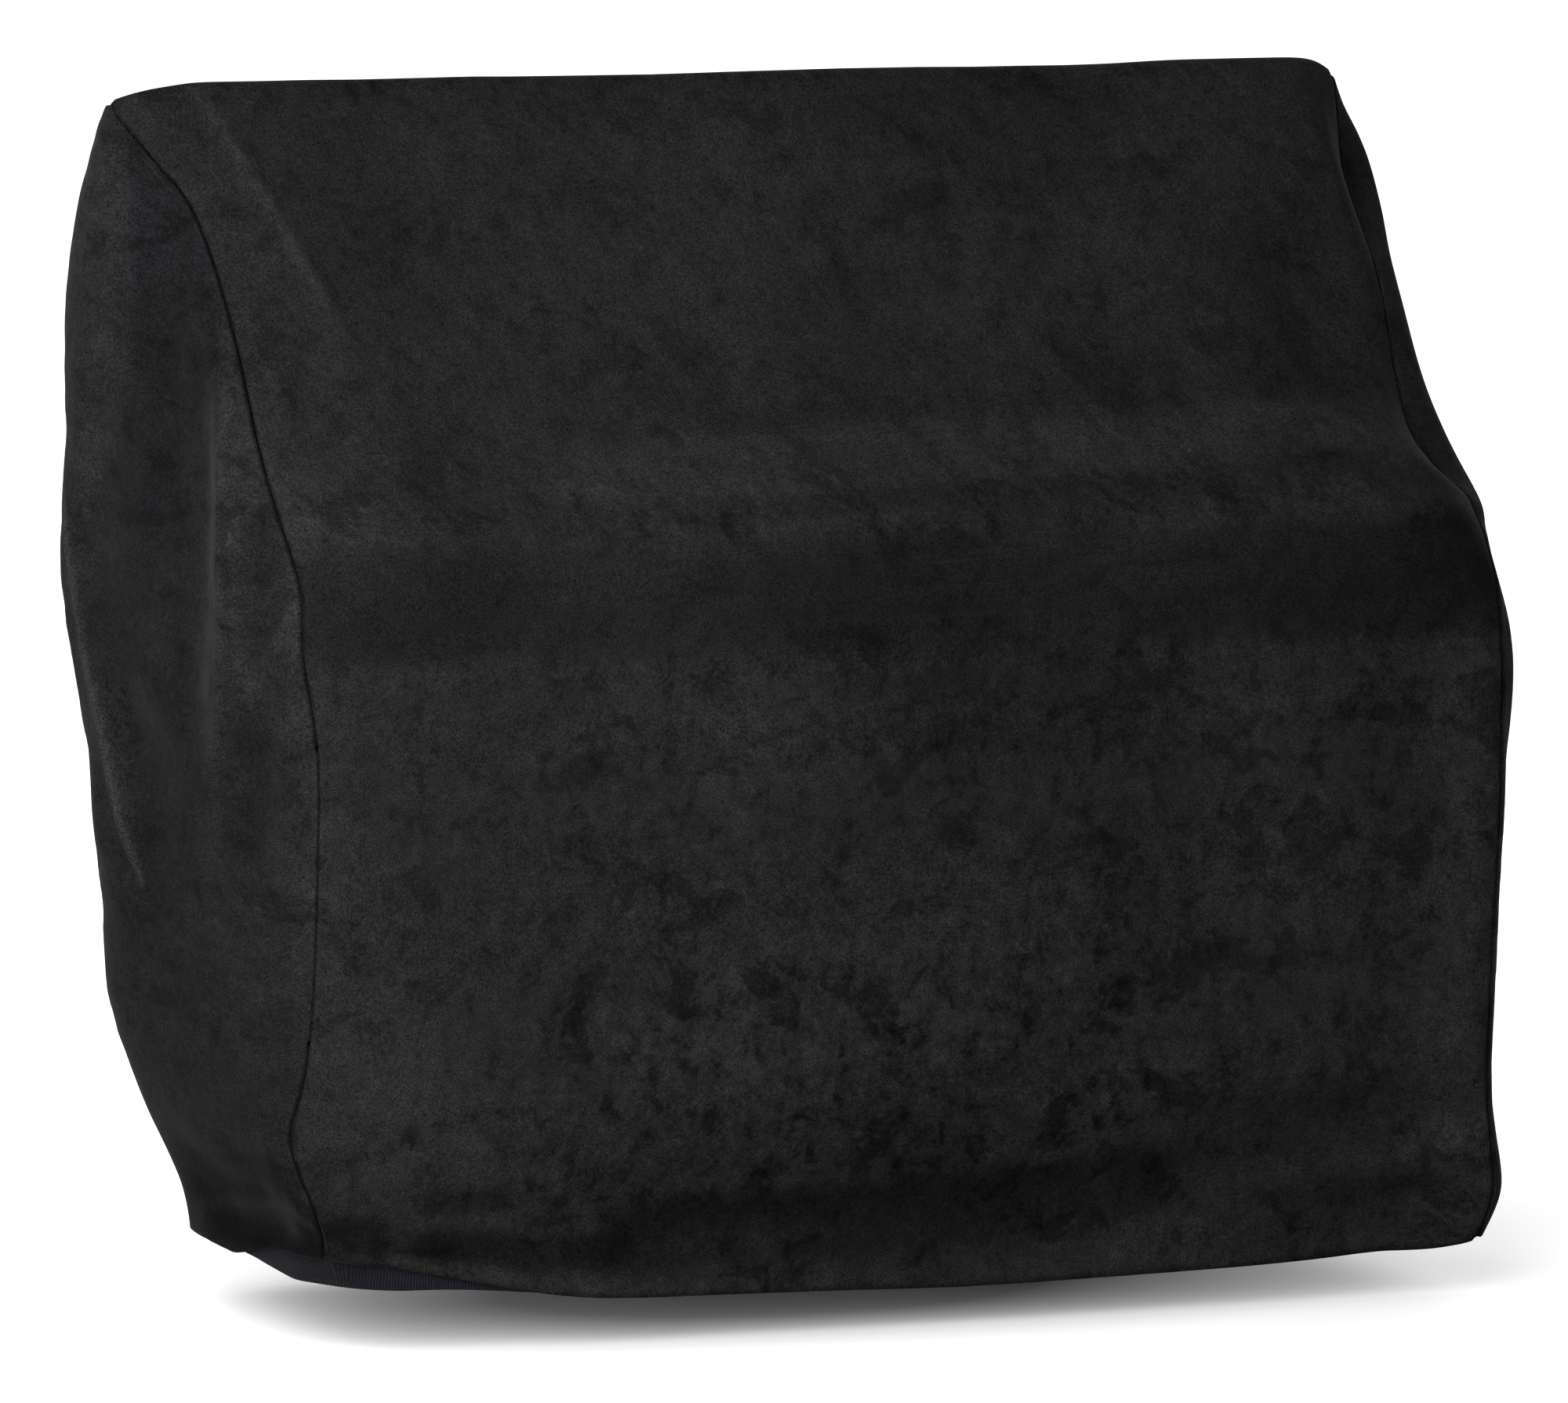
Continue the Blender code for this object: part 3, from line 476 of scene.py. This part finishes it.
def paint_nap_and_light(piece, plain, painted_shade_patches, shade_tint, crush, view):
    """Keep the lie of the pile with its painted light and shade, and how crushed it is, as
    attributes of the sheet.
    """
    # tone: the lie of the pile with painted highlights and painted shade
    tone = patch_values(piece, plain, view, 1.0)
    # dark: painted shade in hollows and wrinkles, tinted as it darkens
    dark = patch_values(piece, painted_shade_patches, view, 1.0)
    colours = np.ones((len(tone), 4))
    for channel, share in enumerate(shade_tint):
        colours[:, channel] = tone * dark * (1.0 + (share - 1.0) * (1.0 - dark))
    attribute = piece.data.color_attributes.new("nap_and_painted_light", "FLOAT_COLOR", "POINT")
    attribute.data.foreach_set("color", colours.astype(np.float32).ravel())
    attribute = piece.data.attributes.new("crush", "FLOAT", "POINT")
    attribute.data.foreach_set("value", crush.astype(np.float32))


def follow_edge(piece, before, after):
    """Carry a panel's edge along with the neighbour's edge that it is sewn to."""
    tree = tree_of(before)
    moved = points_of(piece)
    for number, point in enumerate(moved.copy()):
        _, nearest, away = tree.find(point)
        if away < FOLLOW:
            moved[number] += (after[nearest] - before[nearest]) * smooth_share(1.0 - away / FOLLOW)
    move_to(piece, moved)


def wave_cloth(piece, edge_distance):
    """Give a sheet its long and short uneven waves."""
    points, normals = points_of(piece), normals_of(piece)
    strength = EDGE_WAVE + (1.0 - EDGE_WAVE) * np.clip(edge_distance / WAVE_FADE, 0.0, 1.0)
    rise = np.zeros(len(points))
    for length, height in WAVES:
        rise += height * np.array([noise.noise(Vector(point) / length) for point in points])
    move_to(piece, points + normals * (rise * strength)[:, None])


def distances_to_edge(piece):
    """How far each point is from the sheet's open edge."""
    points = points_of(piece)
    tree = tree_of([points[number] for number in edge_numbers(piece)])
    return np.array([tree.find(point)[2] for point in points])


def pucker(piece, seam_distance):
    """Small puckers along the seams."""
    points, normals = points_of(piece), normals_of(piece)
    near = np.clip(1.0 - seam_distance / PUCKER_WIDTH, 0.0, 1.0) ** 2
    rise = np.array([noise.noise(Vector(point) / PUCKER_LENGTH) for point in points])
    move_to(piece, points + normals * (PUCKER_HEIGHT * near * rise)[:, None])


def turn_in_seams(piece, partner_points, partner_normals):
    """Turn a sheet's seam edges inwards, so that they meet the next panel's turned-in edge, and
    darken the seam with painted shade.
    """
    tree = tree_of(partner_points)
    mesh = bmesh.new()
    mesh.from_mesh(piece.data)
    mesh.normal_update()
    rim = [edge for edge in mesh.edges if edge.is_boundary and seam_edge(edge, tree)]
    normals = {}
    for edge in rim:
        for vertex in edge.verts:
            normals[vertex] = vertex.normal.copy()
    made = bmesh.ops.extrude_edge_only(mesh, edges=rim)
    new = [item for item in made["geom"] if isinstance(item, bmesh.types.BMVert)]
    old_tree = tree_of([vertex.co for vertex in normals])
    old = list(normals)
    nap_and_painted_light = mesh.verts.layers.float_color["nap_and_painted_light"]
    for vertex in new:
        source = old[old_tree.find(vertex.co)[1]]
        near, number, _ = tree.find(vertex.co)
        inward = -(normals[source] + Vector(partner_normals[number])).normalized()
        # Painted shade: the turned-in edge and the seam's edge are darkened
        vertex[nap_and_painted_light] = vertex[nap_and_painted_light] * SEAM_PAINTED_SHADE**2
        source[nap_and_painted_light] = source[nap_and_painted_light] * SEAM_PAINTED_SHADE
        source.co += inward * SEAM_DEPTH
        middle = (vertex.co + near) / 2
        aside = (vertex.co - near) / 2
        aside -= inward * aside.dot(inward)
        if aside.length > SEAM_SLIT:
            aside *= SEAM_SLIT / aside.length
        share = min(max((vertex.co.z - HEM_LEVEL) / HEM_MARGIN, HEM_SHARE), 1.0)
        vertex.co = middle + aside + inward * (SEAM_DEPTH + ALLOWANCE * share)
    mesh.to_mesh(piece.data)
    mesh.free()


def seam_edge(edge, tree):
    """True where both ends of an open edge lie close to the next panel's edge."""
    return all(tree.find(vertex.co)[2] < SEAM_REACH for vertex in edge.verts)


def thicken(piece, thickness):
    """Give a sheet its thickness, inwards."""
    modifier = piece.modifiers.new("thickness", "SOLIDIFY")
    modifier.thickness = thickness
    modifier.offset = -1.0
    modifier.use_even_offset = False
    modifier.use_rim = True
    modifier.material_offset = 1
    apply_modifier(piece, modifier)


def node_tree(name):
    """A new material, its nodes and its shader."""
    material = bpy.data.materials.new(name)
    material.use_nodes = True
    tree = material.node_tree
    return material, tree, tree.nodes["Principled BSDF"]


def link(tree, source, socket, target, target_socket):
    """Join an output of one node to an input of another."""
    tree.links.new(source.outputs[socket], target.inputs[target_socket])


def mapped_node(tree, stretch, place):
    """Object coordinates, stretched and moved."""
    coordinates = tree.nodes.new("ShaderNodeTexCoord")
    mapping = tree.nodes.new("ShaderNodeMapping")
    mapping.inputs["Scale"].default_value = stretch
    mapping.inputs["Location"].default_value = place
    link(tree, coordinates, "Object", mapping, "Vector")
    return mapping


def noise_node(tree, scale, detail, roughness,
               stretch=(1.0, 1.0, 1.0), distortion=0.0, place=(0.0, 0.0, 0.0)):
    """Noise on Object coordinates; scale is in features for each metre."""
    texture = tree.nodes.new("ShaderNodeTexNoise")
    texture.inputs["Scale"].default_value = scale
    texture.inputs["Detail"].default_value = detail
    texture.inputs["Roughness"].default_value = roughness
    texture.inputs["Distortion"].default_value = distortion
    link(tree, mapped_node(tree, stretch, place), "Vector", texture, "Vector")
    return texture


def ramp_node(tree, source, stops):
    """A grey ramp; stops are places and values."""
    ramp = tree.nodes.new("ShaderNodeValToRGB")
    ramp.color_ramp.interpolation = "EASE"
    elements = ramp.color_ramp.elements
    while len(elements) < len(stops):
        elements.new(0.5)
    for element, (place, value) in zip(elements, stops):
        element.position = place
        element.color = (value, value, value, 1.0)
    link(tree, source, "Fac", ramp, "Fac")
    return ramp


def noise_layer(tree, stops, **noise_values):
    """Noise read through a grey ramp."""
    return ramp_node(tree, noise_node(tree, **noise_values), stops)


MIX_FIRST, MIX_SECOND, MIX_RESULT = 6, 7, 2    # a Mix node's colour sockets


def mixed(tree, blend, factor, first, second):
    """A colour mix as (node, socket). What goes in is a plain value or a (node, socket) too."""
    mix = tree.nodes.new("ShaderNodeMix")
    mix.data_type = "RGBA"
    mix.blend_type = blend
    for value, socket in ((factor, "Factor"), (first, MIX_FIRST), (second, MIX_SECOND)):
        if isinstance(value, tuple) and isinstance(value[0], bpy.types.Node):
            link(tree, *value, mix, socket)
        else:
            mix.inputs[socket].default_value = value
    return mix, MIX_RESULT


def attribute_node(tree, name):
    """A reading of one of the sheet's own attributes."""
    node = tree.nodes.new("ShaderNodeAttribute")
    node.attribute_name = name
    return node


def bump_node(tree, texture, strength, distance):
    """The fine relief of a texture; its height is in metres."""
    bump = tree.nodes.new("ShaderNodeBump")
    bump.inputs["Strength"].default_value = strength
    bump.inputs["Distance"].default_value = distance
    link(tree, texture, "Fac", bump, "Height")
    return bump


def finish_shader(shader, finish):
    """Set constants on the shader's own sockets."""
    for socket, value in finish.items():
        shader.inputs[socket].default_value = value


def velour_material():
    """Black cotton velour, its pile crushed into soft lighter and darker patches, with the painted
    light and shade kept on its sheet.
    """
    material, tree, shader = node_tree("black velour")
    finish_shader(shader, VELOUR_FINISH)
    broad = noise_layer(tree, ((0.36, 0.88), (0.64, 1.10)),
                        scale=9.0, detail=2.0, roughness=0.5, stretch=(1.0, 0.5, 0.8))
    patches = noise_layer(tree, ((0.34, 0.34), (0.49, 1.00), (0.65, 1.46)),
                          scale=95.0, detail=5.0, roughness=0.75, stretch=(1.0, 0.4, 0.85),
                          distortion=0.3, place=(3.1, 1.7, 0.4))
    clusters = noise_layer(tree, ((0.40, 0.45), (0.46, 1.00)),
                           scale=34.0, detail=8.0, roughness=0.72, stretch=(1.0, 0.4, 1.15),
                           distortion=0.5, place=(6.3, 2.2, 1.9))
    flecks = noise_layer(tree, ((0.30, 0.78), (0.70, 1.24)),
                         scale=330.0, detail=3.0, roughness=0.65, stretch=(1.0, 0.4, 1.0),
                         place=(0.7, 5.2, 2.8))
    grain = noise_layer(tree, ((0.27, 0.46), (0.73, 1.54)),
                        scale=1500.0, detail=2.0, roughness=0.6, stretch=(1.0, 0.4, 1.0))
    hue = noise_layer(tree, ((0.42, 0.0), (0.62, 1.0)),
                      scale=20.0, detail=2.0, roughness=0.5, place=(8.0, 2.0, 5.0))
    # The sheet's painted light and shade, with the lie of the pile, multiply the colour
    nap_and_painted_light = attribute_node(tree, "nap_and_painted_light")
    crush = (attribute_node(tree, "crush"), "Fac")
    colour = mixed(tree, "MIX", (hue, "Color"), VELOUR_COOL, VELOUR_WARM)
    for layer, share in ((broad, 1.0), (nap_and_painted_light, 1.0), (patches, crush), (clusters, crush),
                         (flecks, crush), (grain, 1.0)):
        colour = mixed(tree, "MULTIPLY", share, colour, (layer, "Color"))
    link(tree, *colour, shader, "Base Color")
    soft = bump_node(tree, noise_node(tree, scale=150.0, detail=4.0, roughness=0.6),
                     strength=0.3, distance=0.0010)
    pile = bump_node(tree, noise_node(tree, scale=1300.0, detail=3.0, roughness=0.65),
                     strength=0.5, distance=0.0005)
    link(tree, soft, "Normal", pile, "Normal")
    link(tree, pile, "Normal", shader, "Normal")
    return material


def backing_material():
    """The plain knitted back of the velour."""
    material, tree, shader = node_tree("velour backing")
    finish_shader(shader, BACKING_FINISH)
    knit = noise_node(tree, scale=900.0, detail=2.0, roughness=0.5, stretch=(1.0, 1.0, 0.35))
    tone = ramp_node(tree, knit, ((0.3, 0.6), (0.7, 1.4)))
    colour = mixed(tree, "MULTIPLY", 1.0, BACKING_COLOUR, (tone, "Color"))
    link(tree, *colour, shader, "Base Color")
    link(tree, bump_node(tree, knit, strength=0.5, distance=0.0003), "Normal", shader, "Normal")
    return material


def tape_material():
    """Dark blue-black ribbed tape, with painted shade between its ribs and painted highlights on
    them.
    """
    material, tree, shader = node_tree("ribbed tape")
    finish_shader(shader, TAPE_FINISH)
    threads = noise_node(tree, scale=1400.0, detail=2.0, roughness=0.6, stretch=(1.0, 1.0, 0.4))
    tone = ramp_node(tree, threads, ((0.3, 0.7), (0.7, 1.35)))
    # Painted shade between the ribs and painted highlight on them
    ribs = ramp_node(tree, attribute_node(tree, "rib"), RIB_PAINTED_SHADING)
    colour = mixed(tree, "MULTIPLY", 1.0, TAPE_COLOUR, (tone, "Color"))
    colour = mixed(tree, "MULTIPLY", 1.0, colour, (ribs, "Color"))
    link(tree, *colour, shader, "Base Color")
    link(tree, bump_node(tree, threads, strength=0.4, distance=0.0002), "Normal", shader, "Normal")
    return material


def velour_piece(name):
    """One smooth velour panel, before its folds."""
    node, near, levels = SHEETS[name]
    piece = outer_sheet(node, name, near)
    smooth_mesh(piece, levels)
    return piece


def finish_cloth(piece, view, folds, nap_and_painted_light, painted_shade_patches, shade_tint, crush, crushed):
    """Give a panel the lie of its pile with its painted light and shade, and then its folds, waves
    and puckers.
    """
    paint_nap_and_light(piece, nap_and_painted_light, painted_shade_patches, shade_tint, patch_values(piece, crush, view, crushed), view)
    press_folds(piece, folds, view)
    edge_distance = distances_to_edge(piece)
    wave_cloth(piece, edge_distance)
    pucker(piece, edge_distance)


def open_loops(piece):
    """The closed lines of places along a sheet's open edges, the lowest first."""
    mesh = bmesh.new()
    mesh.from_mesh(piece.data)
    waiting = [edge for edge in mesh.edges if edge.is_boundary]
    loops = []
    while waiting:
        start, current = waiting.pop(0).verts
        line = [start]
        while current is not start:
            line.append(current)
            following = next(edge for edge in current.link_edges if edge in waiting)
            waiting.remove(following)
            current = following.other_vert(current)
        loops.append([vertex.co.copy() for vertex in line])
    mesh.free()
    return sorted(loops, key=lambda line: sum(point.z for point in line) / len(line))


def build_tape(skin):
    """The tape, run evenly round the hem with its ribs standing out."""
    foot_line, top_line = open_loops(skin)
    foot = even_loop(foot_line)
    count = len(foot)
    readings = even_loop(top_line, count * TOP_READINGS)
    tree = tree_of([(point.x, point.y, 0.0) for point in readings])
    top = [readings[tree.find((point.x, point.y, 0.0))[1]] for point in foot]
    mesh = bpy.data.meshes.new("ribbed_hem_tape")
    mesh.from_pydata(ring_points(foot, top), [], ring_faces(count))
    piece = add_piece("ribbed_hem_tape", mesh)
    bpy.ops.object.mode_set(mode="EDIT")
    bpy.ops.mesh.select_all(action="SELECT")
    if not faces_look_out(piece):
        bpy.ops.mesh.flip_normals()
    bpy.ops.object.mode_set(mode="OBJECT")
    points, normals = points_of(piece), normals_of(piece)
    columns = np.tile(np.arange(count), TAPE_RISES + 1)
    rib = np.sin(2 * math.pi * columns / RIB_POINTS + math.pi / RIB_POINTS)
    move_to(piece, points + normals * (RIB_HEIGHT * rib)[:, None])
    attribute = piece.data.attributes.new("rib", "FLOAT", "POINT")
    attribute.data.foreach_set("value", (0.5 + 0.5 * rib).astype(np.float32))
    return piece


def faces_look_out(piece):
    """True if the tape's faces look away from the middle of the cover."""
    mesh = bmesh.from_edit_mesh(piece.data)
    middle = sum((vertex.co for vertex in mesh.verts), Vector()) / len(mesh.verts)
    return sum((face.calc_center_median() - middle).dot(face.normal) for face in mesh.faces) > 0


def ring_points(foot, top):
    """Rows of places from the tape's foot to its top."""
    points = []
    for row in range(TAPE_RISES + 1):
        points += [low.lerp(high, row / TAPE_RISES) for low, high in zip(foot, top)]
    return points


def ring_faces(count):
    """Four-sided faces between the rows, closed round the ring."""
    faces = []
    for row in range(0, TAPE_RISES * count, count):
        for column in range(count):
            following = (column + 1) % count
            faces.append((row + column, row + following,
                          row + count + following, row + count + column))
    return faces


def even_loop(points, count=None):
    """A closed line read at even steps along a smooth curve through its points."""
    closed = points + points[:1]
    lengths = [0.0]
    for a, b in zip(closed, closed[1:]):
        lengths.append(lengths[-1] + (b - a).length)
    if count is None:
        count = round(lengths[-1] / RIB_PITCH) * RIB_POINTS
    total = len(points)
    found = []
    index = 0
    for step in range(count):
        place = lengths[-1] * step / count
        while place > lengths[index + 1]:
            index += 1
        span = lengths[index + 1] - lengths[index]
        share = (place - lengths[index]) / span
        last, here = points[index - 1], points[index]
        ahead, beyond = points[(index + 1) % total], points[(index + 2) % total]
        leaving = (ahead - last) / ((ahead - here).length + (here - last).length) * span
        arriving = (beyond - here) / ((beyond - ahead).length + (ahead - here).length) * span
        found.append(here * (2 * share**3 - 3 * share**2 + 1)
                     + leaving * (share**3 - 2 * share**2 + share)
                     + ahead * (3 * share**2 - 2 * share**3)
                     + arriving * (share**3 - share**2))
    return found


def dress(piece, node, materials):
    """Finish a piece: materials, smooth shading, and what it stands for."""
    for material in materials:
        piece.data.materials.append(material)
    only(piece)
    bpy.ops.object.shade_smooth()
    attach(piece, "root")
    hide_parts(node)


def build_cover():
    """The three velour panels and the tape."""
    velour = velour_material()
    backing = backing_material()
    strip = velour_piece("velour_strip")
    left = velour_piece("velour_end_left")
    right = velour_piece("velour_end_right")
    rim = edge_numbers(strip)
    rim_before = points_of(strip)[rim]
    finish_cloth(strip, "front", STRIP_FOLDS, STRIP_NAP_AND_PAINTED_LIGHT, STRIP_PAINTED_SHADE, STRIP_SHADE_TINT,
                 STRIP_CRUSH, STRIP_CRUSHED)
    rim_after = points_of(strip)[rim]
    finish_cloth(left, "left", LEFT_END_FOLDS, LEFT_END_NAP_AND_PAINTED_LIGHT, LEFT_END_PAINTED_SHADE, END_SHADE_TINT,
                 LEFT_END_CRUSH, END_CRUSHED)
    finish_cloth(right, "right", RIGHT_END_FOLDS, (), (), END_SHADE_TINT, (), END_CRUSHED)
    for piece in (left, right):
        follow_edge(piece, rim_before, rim_after)
    strip_edge = edge_of(strip)
    end_edges = [np.concatenate(parts) for parts in zip(edge_of(left), edge_of(right))]
    turn_in_seams(strip, *end_edges)
    turn_in_seams(left, *strip_edge)
    turn_in_seams(right, *strip_edge)
    for piece in (strip, left, right):
        dress(piece, SHEETS[piece.name][0], (velour, backing))
        thicken(piece, CLOTH)
    skin = outer_sheet("hem_tape", "tape_guide", TAPE_FACE)
    tape = build_tape(skin)
    bpy.data.objects.remove(skin)
    tape_cloth = tape_material()
    dress(tape, "hem_tape", (tape_cloth, tape_cloth))
    thicken(tape, TAPE)
    return strip, left, right


def add_camera():
    """The camera at the photograph's viewing angle."""
    azimuth, elevation = math.radians(CAMERA_AZIMUTH), math.radians(CAMERA_ELEVATION)
    back = Vector((math.sin(azimuth) * math.cos(elevation),
                   -math.cos(azimuth) * math.cos(elevation), math.sin(elevation)))
    data = bpy.data.cameras.new("camera")
    data.sensor_width = SENSOR
    data.lens = LENS
    data.shift_x, data.shift_y = CAMERA_SHIFT
    data.clip_end = SEEN_TO
    camera = bpy.data.objects.new("camera", data)
    bpy.context.scene.collection.objects.link(camera)
    upright = back.to_track_quat("Z", "Y").to_matrix().to_4x4()
    roll = Matrix.Rotation(CAMERA_ROLL, 4, "Z")
    place = Matrix.Translation(Vector(CAMERA_AIM) + back * CAMERA_DISTANCE)
    camera.matrix_world = place @ upright @ roll
    bpy.context.scene.camera = camera


def add_light(name, place, aim, size, power):
    """A soft box of light."""
    data = bpy.data.lights.new(name, "AREA")
    data.shape = "RECTANGLE"
    data.size, data.size_y = size
    data.energy = power
    light = bpy.data.objects.new(name, data)
    light.location = place
    light.rotation_euler = (Vector(place) - Vector(aim)).to_track_quat("Z", "Y").to_euler()
    bpy.context.scene.collection.objects.link(light)


def paint_floor_light_and_shadow(tree, shader):
    """The floor glows with painted light like a lit white sweep: not under the cover, where that
    leaves a painted shadow, and most far behind it.
    """
    away = tree.nodes.new("ShaderNodeVectorMath")
    away.operation = "LENGTH"
    link(tree, mapped_node(tree, PAINTED_FLOOR_LIGHT_STRETCH, PAINTED_FLOOR_LIGHT_PLACE), "Vector", away, "Vector")
    both = tree.nodes.new("ShaderNodeMath")
    both.operation = "ADD"
    for socket, limits in enumerate((NEAR_GLOW_AND_PAINTED_SHADOW, FAR_PAINTED_LIGHT)):
        link(tree, range_node(tree, away, "Value", limits), "Result", both, socket)
    shader.inputs["Emission Color"].default_value = WHITE
    link(tree, both, "Value", shader, "Emission Strength")


def range_node(tree, source, socket, limits):
    """A value read from one range (the first two limits) into another (the last two)."""
    reading = tree.nodes.new("ShaderNodeMapRange")
    link(tree, source, socket, reading, "Value")
    for name, value in zip(("From Min", "From Max", "To Min", "To Max"), limits):
        reading.inputs[name].default_value = value
    return reading


def add_floor(hem_height):
    """A pale floor under the hem, with painted light and a painted shadow."""
    bpy.ops.mesh.primitive_plane_add(size=FLOOR_SIZE, location=(0.0, 0.0, hem_height - FLOOR_DROP))
    floor = bpy.context.object
    floor.name = "floor"
    floor.visible_diffuse = False
    material, tree, shader = node_tree("pale floor")
    tone = noise_layer(tree, FLOOR_TONES, scale=1.5, detail=2.0, roughness=0.5)
    link(tree, tone, "Color", shader, "Base Color")
    shader.inputs["Roughness"].default_value = 0.8
    paint_floor_light_and_shadow(tree, shader)
    floor.data.materials.append(material)


def add_sky():
    """A plain white sky, dim below and brighter above."""
    world = bpy.data.worlds.new("studio")
    world.use_nodes = True
    tree = world.node_tree
    directions = tree.nodes.new("ShaderNodeTexCoord")
    parts = tree.nodes.new("ShaderNodeSeparateXYZ")
    link(tree, directions, "Generated", parts, "Vector")
    background = tree.nodes["Background"]
    background.inputs["Color"].default_value = WHITE
    link(tree, range_node(tree, parts, "Z", SKY), "Result", background, "Strength")
    bpy.context.scene.world = world


bpy.context.scene.view_settings.view_transform = "Standard"
strip, left, right = build_cover()
add_camera()
add_floor(cad_low.z)
add_sky()
for values in LIGHTS:
    add_light(*values)
